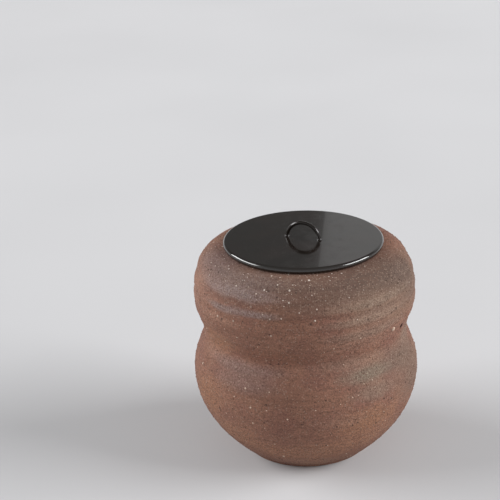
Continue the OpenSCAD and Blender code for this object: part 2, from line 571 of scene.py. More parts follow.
@dataclass(frozen=True)
class Stoneware:
    """Unglazed, reduction-fired stoneware with grit, pits, kiln blushes, and patches of painted shade and
    light.

    Attributes:
        name: Name of the material.
        deep: Clay colour where it is darkest.
        warm: Clay colour where it is lightest.
        clouds: Noise by which the clay changes from one to the other.
        grain: The fine grain of the clay.
        grain_painted_shade: Painted shade and painted light of the grain: what it takes from the brightness
            in its hollows and adds to it on its tops.
        streaks: The streaks left by turning, before they are drawn out.
        streak_draw: How many times closer they lie along each axis.
        streak_shade: Brightness of a dark and of a light streak.
        blushes: The kiln blushes and the patches of painted shade and painted light, in the order in which
            they are laid.
        blush_radius: Distance of the blushes' middles from the axis.
        blush_depth: Reach of a blush through the wall.
        hold_band: Levels of the grain between which it comes to hold more of a blush.
        hold: Shares of a blush that it holds there.
        stir: Noise that breaks up the blushes' edges.
        stir_reach: How far it moves them.
        flecks: The kinds of speck, in the order in which they are laid.
        crowd_band: Heights between which the specks go from the wall's share to the shoulder's.
        rough: Roughness in the grain's hollows and on its tops.
        shine: Strength of the reflection, where 0.5 is that of a glaze.
        relief: Height of the grain and of the streaks.
    """

    name: str = "gritty_stoneware"
    deep: str = "#7d584b"
    warm: str = "#866150"
    clouds: Cloud = Cloud(24 * MM, 4.0)
    grain: Cloud = Cloud(1.2 * MM, 3.0, 0.7)
    grain_painted_shade: Band = (-0.3, 0.3)
    streaks: Cloud = Cloud(16 * MM, 4.0)
    streak_draw: Point = (1.0, 1.0, 9.0)
    streak_shade: Band = (0.94, 1.06)
    blushes: tuple[Blush, ...] = KILN_BLUSHES_AND_PAINTED_LIGHT
    blush_radius: float = 88 * MM
    blush_depth: float = 60 * MM
    hold_band: Band = (0.35, 0.62)
    hold: Band = (0.4, 1.15)
    stir: Cloud = Cloud(14 * MM, 3.0)
    stir_reach: Point = (18 * MM, 18 * MM, 4 * MM)
    flecks: tuple[Fleck, ...] = FLECKS
    crowd_band: Band = (146 * MM, 164 * MM)
    rough: Band = (0.72, 0.95)
    shine: float = 0.3
    relief: float = 0.5 * MM

    def blushed(self, graph: Surface, grain: NodeSocket, blush: Recipe) -> NodeSocket:
        """Adds the clay's colour with its blushes and its patches of painted shade and painted light.

        Args:
            graph: The material's graph.
            grain: The fine grain, whose tops hold more of a blush.
            blush: The blush group.

        Returns:
            The colour, before streaks and specks.
        """
        colour = graph.blend(graph.noise(graph.at, self.clouds), MOST, self.deep, self.warm)
        hold = graph.remap(grain, self.hold_band, self.hold)
        stir = graph.vector("SUBTRACT", graph.noise(graph.at, self.stir, "Color"), (NOISE_MIDDLE,) * 3)
        broken = graph.vector("ADD", graph.at, graph.vector("MULTIPLY", stir, self.stir_reach))
        for patch in self.blushes:
            colour = graph.place(blush, {
                "Colour": colour, "Coordinates": broken, "Blush": paint(patch.tone.value),
                "Turn": math.radians(90 - patch.azimuth), "Strength": patch.strength, "Hold": hold,
                "Centre": (self.blush_radius, 0.0, patch.height),
                "Reach": (self.blush_depth, patch.along, patch.up)})["Colour"]
        return colour

    def material(self, blush: Recipe, scatter: Recipe) -> Material:
        """Makes the material.

        Args:
            blush: The blush group.
            scatter: The fleck group.

        Returns:
            The material.
        """
        graph = Surface(self.name)
        grain = graph.noise(graph.at, self.grain)
        streaks = graph.noise(graph.vector("MULTIPLY", graph.at, self.streak_draw), self.streaks)
        # Streaks' own tone, with the grain's painted shade in its hollows and painted light on its tops
        shade = graph.math("ADD", graph.remap(streaks, MOST, self.streak_shade),
                           graph.remap(grain, MIDDLE, self.grain_painted_shade))
        colour = graph.scaled(self.blushed(graph, grain, blush), shade)
        normal = graph.bump(streaks, self.relief, graph.bump(grain, self.relief))
        height = graph.parts(graph.at)["Z"]
        for fleck in self.flecks:
            mask = graph.place(scatter, {
                "Coordinates": graph.vector("ADD", graph.at, fleck.shift), "Size": fleck.size,
                "Share": graph.remap(height, self.crowd_band, fleck.shares)})["Mask"]
            colour = graph.mix(graph.math("MULTIPLY", mask, fleck.strength), colour, paint(fleck.tone))
            if fleck.depth:
                normal = graph.bump(graph.math("SUBTRACT", 1.0, mask), fleck.depth, normal)
        return graph.finish({
            "Base Color": colour, "Roughness": graph.remap(grain, WIDE, self.rough),
            "Specular IOR Level": self.shine, "Normal": normal})


@dataclass(frozen=True)
class Feldspar:
    """Pale grains of half-melted feldspar in the clay.

    Attributes:
        name: Name of the material.
        dull: Colour of the dull grains.
        beige: Colour of the bright grains on the wall.
        white: Colour of the bright grains on the shoulder.
        white_band: Heights between which the bright grains turn from beige to white.
        tones: Noise by which the grains are dull or bright.
        melt: Small unevenness of a grain's surface.
        rough: Roughness in its hollows and on its tops.
        relief: Height of its tops.
    """

    name: str = "pale_feldspar"
    dull: str = "#a68f80"
    beige: str = "#d3b9a4"
    white: str = "#d6cabf"
    white_band: Band = (125 * MM, 165 * MM)
    tones: Cloud = Cloud(2.5 * MM)
    melt: Cloud = Cloud(0.4 * MM)
    rough: Band = (0.35, 0.65)
    relief: float = 0.1 * MM

    def material(self) -> Material:
        """Makes the material.

        Returns:
            The material.
        """
        graph = Surface(self.name)
        melt = graph.noise(graph.at, self.melt)
        bright = graph.blend(graph.parts(graph.at)["Z"], self.white_band, self.beige, self.white)
        tone = graph.remap(graph.noise(graph.at, self.tones), MIDDLE)
        return graph.finish({
            "Base Color": graph.mix(tone, paint(self.dull), bright),
            "Roughness": graph.remap(melt, MOST, self.rough), "Normal": graph.bump(melt, self.relief)})


@dataclass(frozen=True)
class Iron:
    """Spots where iron in the clay melted in the kiln.

    Attributes:
        name: Name of the material.
        black: Colour where the iron is thick.
        rust: Colour where it is thin.
        crust: Unevenness of its crust.
        rough: Roughness in the crust's hollows and on its tops.
        shine: Strength of the reflection.
        relief: Height of the crust's tops.
    """

    name: str = "melted_iron"
    black: str = "#2c1a18"
    rust: str = "#4a2d29"
    crust: Cloud = Cloud(0.6 * MM, 3.0)
    rough: Band = (0.6, 0.85)
    shine: float = 0.25
    relief: float = 0.15 * MM

    def material(self) -> Material:
        """Makes the material.

        Returns:
            The material.
        """
        graph = Surface(self.name)
        crust = graph.noise(graph.at, self.crust)
        return graph.finish({
            "Base Color": graph.blend(crust, MIDDLE, self.black, self.rust),
            "Roughness": graph.remap(crust, MOST, self.rough),
            "Specular IOR Level": self.shine, "Normal": graph.bump(crust, self.relief)})


@dataclass(frozen=True)
class Lacquer:
    """Black lacquer, polished by hand.

    Attributes:
        name: Name of the material.
        coat: Share of the clear top coat.
        shine: Strength of the reflection under the top coat, where 0.5 is plain lacquer.
        coat_rough: Roughness of the top coat.
        black: Its colour.
        brown: Colour where the coat lets some light through.
        depth: Noise by which it changes from one to the other.
        depth_band: Levels of that noise between which it does so.
        clear: Roughness where it is polished best.
        hazy: Roughness where the polish is dull.
        wave: Height of the slow waves left by the brush.
    """

    name: str
    coat: float = 0.7
    shine: float = 0.5
    coat_rough: float = 0.03
    black: str = "#17130f"
    brown: str = "#1d1612"
    depth: Cloud = Cloud(35 * MM)
    depth_band: Band = (0.35, 0.7)
    clear: float = 0.1
    hazy: float = 0.2
    wave: float = 0.02 * MM

    def material(self, polish: Recipe) -> Material:
        """Makes the material.

        Args:
            polish: The polish group.

        Returns:
            The material.
        """
        graph = Surface(self.name)
        polished = graph.place(polish, {"Coordinates": graph.at, "Clear": self.clear, "Hazy": self.hazy})
        depth = graph.noise(graph.at, self.depth)
        return graph.finish({
            "Base Color": graph.blend(depth, self.depth_band, self.black, self.brown),
            "Roughness": polished["Roughness"], "Normal": graph.bump(polished["Wave"], self.wave),
            "Specular IOR Level": self.shine, "Coat Weight": self.coat, "Coat Roughness": self.coat_rough})


@dataclass(frozen=True)
class FloorPaper:
    """Plain pale paper under the jar, without shine.

    Attributes:
        name: Name of the material.
        pale: Its colour.
        shade: Its colour where it is a little darker.
        clouds: Noise by which it changes from one to the other.
        rough: Its roughness.
    """

    name: str = "floor_paper"
    pale: str = "#cacacc"
    shade: str = "#c6c6c8"
    clouds: Cloud = Cloud(0.5)
    rough: float = 0.9

    def material(self) -> Material:
        """Makes the material.

        Returns:
            The material.
        """
        graph = Surface(self.name)
        colour = graph.blend(graph.noise(graph.at, self.clouds), MOST, self.pale, self.shade)
        return graph.finish({"Base Color": colour, "Roughness": self.rough, "Specular IOR Level": 0.0})


def resampled(points: np.ndarray, step: float) -> np.ndarray:
    """Spaces points evenly along a line.

    Args:
        points: Points of the line, one per row.
        step: Distance between the new points.

    Returns:
        The new points, with the same first and last one.
    """
    along = np.concatenate([[0.0], np.cumsum(np.linalg.norm(np.diff(points, axis=0), axis=1))])
    marks = np.linspace(0.0, along[-1], max(2, round(along[-1] / step) + 1))
    return np.column_stack([np.interp(marks, along, column) for column in points.T])


def quarter_round(centre: tuple[float, float], radius: float, start: float, steps: int = 8) -> np.ndarray:
    """Draws a quarter circle.

    Args:
        centre: Its centre, as radius and height.
        radius: Its own radius.
        start: Angle of its first point in degrees.
        steps: Straight steps along it.

    Returns:
        Its points, one per row.
    """
    angles = np.radians(start + np.linspace(0.0, 90.0, steps + 1))
    return np.array(centre) + radius * np.column_stack([np.cos(angles), np.sin(angles)])


def held(outline: np.ndarray, hold: float) -> np.ndarray:
    """Puts two points in place of each corner of a closed line, so that smooth shading keeps its flats.

    Args:
        outline: Corners of the line.
        hold: Distance of the new points from a corner.

    Returns:
        The line with its new points.
    """
    before, after = (np.roll(outline, shift, axis=0) for shift in (1, -1))
    line = []
    for corner, *ends in zip(outline, before, after):
        line.extend(corner + (end - corner) * hold / np.linalg.norm(end - corner) for end in ends)
    return np.array(line)


def turned_grid(profile: np.ndarray, segments: int) -> np.ndarray:
    """Sweeps a profile about the Z axis, as on a potter's wheel.

    Args:
        profile: Radius and height of each row.
        segments: Number of points round the axis.

    Returns:
        Points by row and segment.
    """
    turn = np.arange(segments) * 2 * math.pi / segments
    radius, height = profile[:, :1], profile[:, 1:]
    return np.stack([radius * np.sin(turn), -radius * np.cos(turn), height + 0 * turn], axis=2)


def skinned(name: str, grid: np.ndarray, closed: bool = False,
            marks: Mapping[str, np.ndarray] | None = None) -> Object:
    """Covers a grid of points that closes round the axis with faces.

    Args:
        name: The object's name.
        grid: Points by row and segment, with the outside on the right of the rows' order.
        closed: Whether the last row joins the first one.
        marks: Numbers for each row, kept on its points as attributes.

    Returns:
        The object, smooth and linked into the scene.
    """
    rows, segments = grid.shape[:2]
    index = np.arange(rows * segments).reshape(rows, segments)
    near = index if closed else index[:-1]
    far = np.roll(index, -1, axis=0)[:len(near)]
    faces = np.stack([near, np.roll(near, -1, axis=1), np.roll(far, -1, axis=1), far], axis=2)
    mesh = bpy.data.meshes.new(name)
    mesh.from_pydata(grid.reshape(-1, 3).tolist(), [], faces.reshape(-1, 4).tolist())
    for label, row_marks in (marks or {}).items():
        attribute = mesh.attributes.new(label, "FLOAT", "POINT")
        attribute.data.foreach_set("value", np.repeat(row_marks, segments).astype(np.float32))
    shape = bmesh.new()
    shape.from_mesh(mesh)
    bmesh.ops.remove_doubles(shape, verts=shape.verts, dist=WELD)
    shape.to_mesh(mesh)
    shape.free()
    mesh.shade_smooth()
    return linked(name, mesh)


def linked(name: str, mesh: Mesh) -> Object:
    """Puts a mesh into the scene.

    Args:
        name: Name of the new object.
        mesh: The mesh.

    Returns:
        The object, at the origin.
    """
    thing = bpy.data.objects.new(name, mesh)
    bpy.context.scene.collection.objects.link(thing)
    return thing


def dressed(thing: Object, material: Material, body: Body) -> Object:
    """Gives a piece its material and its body.

    Args:
        thing: The piece.
        material: Its only material.
        body: The CAD body that it rides on.

    Returns:
        The piece.
    """
    thing.data.materials.clear()
    thing.data.materials.append(material)
    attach(thing, body.value)
    return thing


@dataclass(frozen=True)
class FingerMark:
    """A groove that a finger left in the turning wall.

    Attributes:
        height: Its height at the front of the jar.
        depth: Its depth where it is deepest.
        width: Its width up and down.
        azimuth: Where it is deepest.
        spread: Angle from there to where it has faded, or a full turn for an even ring.
        slope: Its rise towards the viewer's right, for each metre.
    """

    height: float
    depth: float
    width: float
    azimuth: float = 0.0
    spread: float = FULL_TURN
    slope: float = THROWING_SLOPE

    def depth_at(self, height: np.ndarray, azimuth: np.ndarray, radius: np.ndarray) -> np.ndarray:
        """Works out its depth at points of the wall.

        Args:
            height: Heights of the points.
            azimuth: Azimuths of the points.
            radius: Distances of the points from the axis.

        Returns:
            Its depth at each point.
        """
        middle = self.height + self.slope * radius * np.sin(np.radians(azimuth))
        across = np.exp(-(2 * (height - middle) / self.width) ** 2)
        away = np.abs((azimuth - self.azimuth + FULL_TURN / 2) % FULL_TURN - FULL_TURN / 2)
        fade = 1.0 if self.spread >= FULL_TURN else np.exp(-(FADED * away / self.spread) ** 2)
        return self.depth * across * fade


FINGER_MARKS = tuple(
    FingerMark(height * MM, depth * MM, width * MM, *place)
    for height, depth, width, *place in (
        (159.5, 1.1, 7),
        (147.5, 0.9, 6),
        (136.3, 0.7, 6),
        (126.5, 0.35, 5),
        (118, 0.4, 5),
        (107.5, 0.6, 9, -20, 120, 0.0),
        (170, 0.5, 4, -45, 50, 0.0),
        (95, 0.4, 5, -40, 60),
        (80, 0.25, 5, -30, 70),
        (49, 0.3, 5, 35, 60),
        (37, 0.4, 6, -20, 90),
    ))


class Side(Enum):
    """Sides of the jar's wall, with the share of the relief that each shows."""

    OUTSIDE = 1.0
    INSIDE = 0.6
    EDGE = 0.0


@dataclass
class JarBody:
    """The thrown vessel: base, wall of two bulges, shoulder, lip, inside and floor.

    Attributes:
        foot_r: Radius of the flat base.
        belly_z: Height of the lower bulge's widest point.
        belly_fullness: Swelling of the wall below it.
        waist_r: Radius of the waist.
        waist_z: Height of the waist.
        under_waist_lean: Lean of the hollow under the waist.
        over_waist_lean: Lean of the hollow over the waist.
        shoulder_r: Radius of the upper bulge.
        shoulder_z: Height of the upper bulge's widest point.
        shoulder_squareness: Squareness of the shoulder.
        lip_r: Outer radius of the flat lip.
        lip_t: Thickness of the shoulder at the mouth.
        lip_round: Rounding of the mouth's edge.
        mouth_r: Radius of the mouth.
        wall_t: Thickness of the wall.
        floor_t: Thickness of the floor.
        floor_r: Radius of the flat floor inside.
        foot_round: Rounding of the base's edge.
        inset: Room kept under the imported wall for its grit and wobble.
        marks: Finger marks on the outside.
        marks_end: Distance below the lip within which they fade.
        relief_end: Distance from base and lip within which the relief fades.
        curve_steps: Points that each stretch of the wall is drawn with.
        segments: Points round the jar.
        row_step: Distance between rows on the outside.
        lip_step: Distance between rows on the lip.
        inner_step: Distance between rows on the inside.
        flat_step: Distance between rows on the base and the floor.
    """

    foot_r: float = 53.5 * MM
    belly_z: float = 72 * MM
    belly_fullness: float = 2.16
    waist_r: float = 84 * MM
    waist_z: float = 106 * MM
    under_waist_lean: float = 0.77
    over_waist_lean: float = 1.06
    shoulder_r: float = 91 * MM
    shoulder_z: float = 135 * MM
    shoulder_squareness: float = 2.67
    lip_r: float = 60 * MM
    lip_t: float = 7 * MM
    lip_round: float = 1.2 * MM
    mouth_r: float = 53 * MM
    wall_t: float = 6 * MM
    floor_t: float = 9 * MM
    floor_r: float = 54.85 * MM
    foot_round: float = 1.5 * MM
    inset: float = 0.55 * MM
    marks: tuple[FingerMark, ...] = FINGER_MARKS
    marks_end: float = 3 * MM
    relief_end: float = 4 * MM
    curve_steps: int = 200
    segments: int = 408
    row_step: float = 1.36 * MM
    lip_step: float = 2 * MM
    inner_step: float = 4 * MM
    flat_step: float = 6 * MM

    def __post_init__(self) -> None:
        """Takes the jar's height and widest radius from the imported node."""
        low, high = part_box("jar_body")
        self.height = high.z
        self.belly_r = (high.x - low.x) / 2

    def curve(self, foot: tuple[float, float], inset: float, top: tuple[float, float]) -> np.ndarray:
        """Draws one side of the wall, from a point at the base up to a point at the mouth.

        Args:
            foot: Radius and height where it starts.
            inset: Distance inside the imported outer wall.
            top: Radius and height where it ends.

        Returns:
            Close points along it, as radius and height.
        """
        t = np.linspace(0.0, 1.0, self.curve_steps)
        down, quarter = 1 - t, math.pi / 2
        belly_r, waist_r, shoulder_r = self.belly_r - inset, self.waist_r - inset, self.shoulder_r - inset
        swell = np.column_stack([
            foot[0] + (belly_r - foot[0]) * (1 - down ** self.belly_fullness),
            foot[1] + (self.belly_z - foot[1]) * t])
        under = np.column_stack([
            waist_r + (belly_r - waist_r) * np.sin(quarter * down ** self.under_waist_lean) ** 2,
            self.waist_z - (self.waist_z - self.belly_z) * down])
        over = np.column_stack([
            waist_r + (shoulder_r - waist_r) * np.sin(quarter * t ** self.over_waist_lean) ** 2,
            self.waist_z + (self.shoulder_z - self.waist_z) * t])
        power = 2 / self.shoulder_squareness
        shoulder = np.column_stack([
            top[0] + (shoulder_r - top[0]) * np.cos(quarter * t).clip(0) ** power,
            self.shoulder_z + (top[1] - self.shoulder_z) * np.sin(quarter * t) ** power])
        return np.concatenate([swell, under[1:], over[1:], shoulder[1:]])

    def stretches(self) -> list[tuple[Side, np.ndarray]]:
        """Draws the whole profile, from the middle of the base to the middle of the floor.

        Returns:
            Each stretch in order: the side that it is on, and its points.
        """
        foot = self.foot_r - self.inset
        edge = quarter_round((foot - self.foot_round, self.foot_round), self.foot_round, -90)
        outer = self.curve((foot, self.foot_round), self.inset, (self.lip_r, self.height))
        rim = (self.mouth_r + self.lip_round, self.height - self.lip_round)
        mouth = quarter_round(rim, self.lip_round, 90)
        throat = (self.mouth_r, self.height - self.lip_t)
        inner = self.curve((self.floor_r, self.floor_t), self.wall_t, throat)
        base = np.array([[0.0, 0.0], edge[0]])
        lip = np.array([outer[-1], mouth[0]])
        floor = np.array([inner[0], [0.0, self.floor_t]])
        return [
            (Side.EDGE, resampled(base, self.flat_step)[:-1]),
            (Side.EDGE, edge[:-1]),
            (Side.OUTSIDE, resampled(outer, self.row_step)[:-1]),
            (Side.EDGE, resampled(lip, self.lip_step)[:-1]),
            (Side.EDGE, mouth),
            (Side.INSIDE, resampled(inner[::-1], self.inner_step)),
            (Side.INSIDE, resampled(floor, self.flat_step)[1:]),
        ]

    def build(self, relief: Recipe, material: Material) -> Object:
        """Builds the jar.

        Args:
            relief: The group that gives the wall its wobble, lines and grit.
            material: The stoneware.

        Returns:
            The jar.
        """
        stretches = self.stretches()
        profile = np.concatenate([points for _, points in stretches])
        share = np.concatenate([np.full(len(points), side.value) for side, points in stretches])
        outer = share == Side.OUTSIDE.value
        grid = turned_grid(profile, self.segments)

        azimuth = np.arange(self.segments) * FULL_TURN / self.segments
        radius, height = profile[outer, :1], profile[outer, 1:]
        fade = np.clip((self.height - height) / self.marks_end, 0, 1)
        depth = sum(mark.depth_at(height, azimuth, radius) for mark in self.marks) * fade
        grid[outer, :, :2] *= (1 - depth / radius)[:, :, None]

        ends = np.minimum(profile[:, 1], self.height - profile[:, 1])
        rough = share * np.clip(ends / self.relief_end, 0, 1)
        jar = skinned("jar_body_visual", grid, marks={"relief": rough, "outer": outer.astype(float)})
        jar.data = relief.run(jar, {
            "Wobble": 0.25 * MM, "Wobble Size": 55 * MM, "Line Depth": 0.1 * MM, "Line Spacing": 5.5 * MM,
            "Line Slope": THROWING_SLOPE, "Grit": 0.12 * MM, "Grit Size": 3 * MM, "Material": material})
        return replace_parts(dressed(jar, material, Body.JAR), "jar_body")


def thrown_relief() -> Recipe:
    """Makes the geometry group that roughens a thrown wall along its normals.

    Returns:
        The group.
    """
    group = Recipe(
        Tree.GEOMETRY, "thrown_relief",
        {"Geometry": Socket.GEOMETRY, "Material": Socket.MATERIAL,
         **numbers("Wobble", "Wobble Size", "Line Depth", "Line Spacing", "Line Slope"),
         **numbers("Grit", "Grit Size")},
        {"Geometry": Socket.GEOMETRY})
    given = group.given
    place = group.node("GeometryNodeInputPosition").outputs[0]
    normal = group.node("GeometryNodeInputNormal").outputs[0]
    parts = group.parts(place)

    def swing(size: NodeSocket, amount: NodeSocket) -> NodeSocket:
        """Adds a noise that swings to both sides.

        Args:
            size: Width of its clouds.
            amount: How far it swings.

        Returns:
            The noise.
        """
        inputs = {"Vector": place, "Scale": group.math("DIVIDE", 1.0, size)}
        noise = group.node("ShaderNodeTexNoise", inputs).outputs[0]
        both_ways = group.math("MULTIPLY", amount, 2.0)
        return group.math("MULTIPLY", group.math("SUBTRACT", noise, NOISE_MIDDLE), both_ways)

    level = group.math("SUBTRACT", parts["Z"], group.math("MULTIPLY", parts["X"], given["Line Slope"]))
    drift = swing(given["Wobble Size"], given["Line Spacing"])
    phase = group.math("DIVIDE", group.math("ADD", level, drift), given["Line Spacing"])
    wave = group.math("SINE", group.math("MULTIPLY", phase, 2 * math.pi))
    lines = group.math("MULTIPLY", wave, given["Line Depth"])
    wobble = swing(given["Wobble Size"], given["Wobble"])
    grit = swing(given["Grit Size"], given["Grit"])
    height = group.math("ADD", group.math("ADD", wobble, grit), lines)
    offset = group.scaled(normal, group.math("MULTIPLY", height, group.attribute("relief")))
    moved = group.node("GeometryNodeSetPosition", {"Geometry": given["Geometry"], "Offset": offset})
    group.realize(moved.outputs[0])
    return group


def sown_grains(rareness: float = 2.5, slimmest: float = 0.65, mostly: float = 0.5) -> Recipe:
    """Makes the geometry group that sows half-buried grains over the outer wall.

    Args:
        rareness: How much rarer large grains are than small ones, where 1 is not at all.
        slimmest: Breadth of the slimmest grain for each unit of its length.
        mostly: Share of a face's corners that lie on the outer wall if grains are sown on it.

    Returns:
        The group.
    """
    group = Recipe(
        Tree.GEOMETRY, "sown_grains",
        {"Geometry": Socket.GEOMETRY, "Seed": Socket.INTEGER, "Material": Socket.MATERIAL,
         **numbers("Wall Density", "Shoulder Density", "Shoulder Foot", "Shoulder Top"),
         **numbers("Thin From", "Thin To", "Smallest", "Largest", "Flatness")},
        {"Geometry": Socket.GEOMETRY})
    given = group.given
    place = group.parts(group.node("GeometryNodeInputPosition").outputs[0])
    sparse, dense = given["Wall Density"], given["Shoulder Density"]
    crowd = group.remap(place["X"], (given["Thin From"], given["Thin To"]), (dense, sparse))
    density = group.remap(place["Z"], (given["Shoulder Foot"], given["Shoulder Top"]), (sparse, crowd))
    outer = group.math("GREATER_THAN", group.attribute("outer"), mostly)
    points = group.node("GeometryNodeDistributePointsOnFaces", {
        "Mesh": given["Geometry"], "Selection": outer, "Density": density, "Seed": given["Seed"]},
        distribute_method="RANDOM").outputs

    def chance(low: float, high: float, salt: float) -> NodeSocket:
        """Adds a random number for each grain and returns it."""
        inputs = {"Min": low, "Max": high, "Seed": group.math("ADD", given["Seed"], salt)}
        return shown(group.node("FunctionNodeRandomValue", inputs, data_type="FLOAT").outputs, "Value")

    share = group.math("POWER", chance(0.0, 1.0, 1.0), rareness)
    span = group.math("SUBTRACT", given["Largest"], given["Smallest"])
    size = group.math("ADD", given["Smallest"], group.math("MULTIPLY", share, span))
    stretch = group.node("ShaderNodeCombineXYZ", {
        "X": size, "Y": group.math("MULTIPLY", size, chance(slimmest, 1.0, 2.0)),
        "Z": group.math("MULTIPLY", size, given["Flatness"])}).outputs[0]
    grain = group.node("GeometryNodeMeshIcoSphere", {"Radius": 1.0, "Subdivisions": 1}).outputs["Mesh"]
    sown = group.node("GeometryNodeInstanceOnPoints", {
        "Points": points["Points"], "Instance": grain, "Rotation": points["Rotation"],
        "Scale": stretch}).outputs[0]
    spin = group.node("ShaderNodeCombineXYZ", {"Z": chance(0.0, 2 * math.pi, 3.0)}).outputs[0]
    spun = group.node("GeometryNodeRotateInstances", {"Instances": sown, "Rotation": spin})
    group.realize(spun.outputs[0])
    return group


@dataclass(frozen=True)
class LoneGrain:
    """A large grain or a spot at a known place on the wall.

    Attributes:
        azimuth: Its azimuth.
        height: Its height.
        size: Half its height.
        breadth: Its breadth for each unit of its height.
        lean: Its lean towards the viewer's right, in degrees.
        relief: How far it stands out, for each unit of its height.
    """

    azimuth: float
    height: float
    size: float
    breadth: float = 0.85
    lean: float = 0.0
    relief: float = 0.45


def lone_grains(*rows: tuple[float, ...]) -> tuple[LoneGrain, ...]:
    """Makes grains from rows of azimuth, height and size in millimetres, and what else differs."""
    return tuple(LoneGrain(azimuth, height * MM, size * MM, *rest) for azimuth, height, size, *rest in rows)


PALE_GRAINS = lone_grains(
    (3, 175, 1.0),
    (-8, 170, 0.9),
    (-22, 169, 0.8),
    (-26, 166, 0.8),
    (-8, 162, 0.8),
    (5, 148.5, 0.9),
    (-17.5, 148.7, 0.7),
    (-49, 140.5, 1.0),
    (-38, 141.5, 0.8),
    (-17, 135, 0.9),
    (28.6, 128, 0.8),
    (51.5, 124.6, 2, 0.95, 0, 0.65),
    (14.5, 122.5, 0.7),
    (35.5, 89, 0.7),
    (-68, 87, 1.1),
    (-32, 85.5, 0.9),
    (-28.5, 71, 0.9),
    (-9.5, 65, 0.8),
    (-28, 56.6, 0.8),
    (-15.5, 20, 1.1),
)

IRON_SPOTS = lone_grains(
    (62, 121, 2.4, 0.7, 0, 0.35),
    (131, 96, 1.2, 0.8, -20, 0.4),
    (-143, 139, 1.5, 0.7, 15, 0.4),
)


@dataclass
class Grit:
    """What shows of the clay's grit: pale feldspar, coarse sand under a skin of clay, and spots of iron.

    Attributes:
        pale_on_wall: Pale grains per square metre of wall.
        pale_on_shoulder: Pale grains per square metre of shoulder.
        sand: Sand grains per square metre.
        dense_from: Height at which the pale grains begin to crowd.
        dense_to: Height from which they are densest.
        thin_from: Distance to the viewer's right at which the crowd on the shoulder begins to thin.
        thin_to: Distance at which it has thinned to the wall's share.
        lone: The pale grains of known place.
        spots: The iron spots.
        outside: A distance from the axis that is outside the jar.
    """

    pale_on_wall: float = 4400.0
    pale_on_shoulder: float = 24000.0
    sand: float = 56000.0
    dense_from: float = 156 * MM
    dense_to: float = 168 * MM
    thin_from: float = -10 * MM
    thin_to: float = 70 * MM
    lone: tuple[LoneGrain, ...] = PALE_GRAINS
    spots: tuple[LoneGrain, ...] = IRON_SPOTS
    outside: float = 0.2

    def build(self, jar: Object, sow: Recipe, feldspar: Material, clay: Material,
              iron: Material) -> list[Object]:
        """Sows the grains on the jar.

        Args:
            jar: The finished jar.
            sow: The sowing group.
            feldspar: Material of the pale grains.
            clay: Material of the sand.
            iron: Material of the iron spots.

        Returns:
            The three pieces of grain.
        """
        crowd = {"Shoulder Foot": self.dense_from, "Shoulder Top": self.dense_to,
                 "Thin From": self.thin_from, "Thin To": self.thin_to}
        pale = sow.run(jar, {
            **crowd, "Wall Density": self.pale_on_wall, "Shoulder Density": self.pale_on_shoulder,
            "Smallest": 0.3 * MM, "Largest": 0.8 * MM, "Flatness": 0.5, "Seed": 4, "Material": feldspar})
        sand = sow.run(jar, {
            **crowd, "Wall Density": self.sand, "Shoulder Density": self.sand,
            "Smallest": 0.3 * MM, "Largest": 0.85 * MM, "Flatness": 0.6, "Seed": 11, "Material": clay})
        spots = bpy.data.meshes.new("iron_spots")
        self.plant(pale, jar, self.lone)
        self.plant(spots, jar, self.spots)
        pieces = (
            ("feldspar_grains", pale, feldspar),
            ("sand_grains", sand, clay),
            ("iron_spots", spots, iron),
        )
        return [dressed(linked(name, mesh), material, Body.JAR)
                for name, mesh, material in pieces]

    def plant(self, mesh: Mesh, jar: Object, grains: Sequence[LoneGrain]) -> None:
        """Adds grains of known place to a mesh.

        Args:
            mesh: The mesh.
            jar: The jar that they sit on.
            grains: The grains.
        """
        shape = bmesh.new()
        shape.from_mesh(mesh)
        for grain in grains:
            turn = math.radians(grain.azimuth)
            outward = Vector((math.sin(turn), -math.cos(turn), 0.0))
            start = outward * self.outside + Vector((0.0, 0.0, grain.height))
            hit, place, normal, _ = jar.ray_cast(start, -outward)
            if hit:
                seat = Matrix.Translation(place) @ normal.to_track_quat("Z", "X").to_matrix().to_4x4()
                lean = Matrix.Rotation(-math.radians(grain.lean), 4, "Z")
                form = seat @ lean @ Matrix.Diagonal((1.0, grain.breadth, grain.relief, 1.0))
                bmesh.ops.create_icosphere(shape, subdivisions=2, radius=grain.size, matrix=form)
        for face in shape.faces:
            face.smooth = True
        shape.to_mesh(mesh)
        shape.free()


@dataclass
class Lid:
    """The lid's turned board and the locating ring glued under it.

    Attributes:
        edge_round: Rounding of the board's edges.
        ring_w: Width of the ring.
        ring_chamfer: Chamfer on its lower edges.
        hold: Distance from an edge at which a flat begins.
        segments: Points round the lid.
    """

    edge_round: float = 2.2 * MM
    ring_w: float = 5 * MM
    ring_chamfer: float = 0.8 * MM
    hold: float = 0.25 * MM
    segments: int = 256

    def build(self, lacquer: Material) -> list[Object]:
        """Builds the board and the ring.

        Args:
            lacquer: The lid's lacquer.

        Returns:
            The two pieces.
        """
        low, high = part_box("lid_board")
        edge_r = (high.x - low.x) / 2 - self.edge_round
        lower = quarter_round((edge_r, low.z + self.edge_round), self.edge_round, -90)
        upper = quarter_round((edge_r, high.z - self.edge_round), self.edge_round, 0)
        flat = lower[0, 0] - self.hold
        board = np.concatenate([[[r, low.z] for r in (0.0, flat / 2, flat)], lower, upper,
                                [[r, high.z] for r in (flat, flat / 2, 0.0)]])

        low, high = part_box("lid_locating_ring")
        outer, cut = (high.x - low.x) / 2, self.ring_chamfer
        inner = outer - self.ring_w
        ring = held(np.array([[inner + cut, low.z], [outer - cut, low.z], [outer, low.z + cut],
                              [outer, high.z], [inner, high.z], [inner, low.z + cut]]), self.hold)
        pieces = {
            "lid_board": skinned("lid_board_visual", turned_grid(board, self.segments)),
            "lid_locating_ring": skinned("lid_ring_visual", turned_grid(ring, self.segments), closed=True),
        }
        return [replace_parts(dressed(piece, lacquer, Body.LID), node)
                for node, piece in pieces.items()]


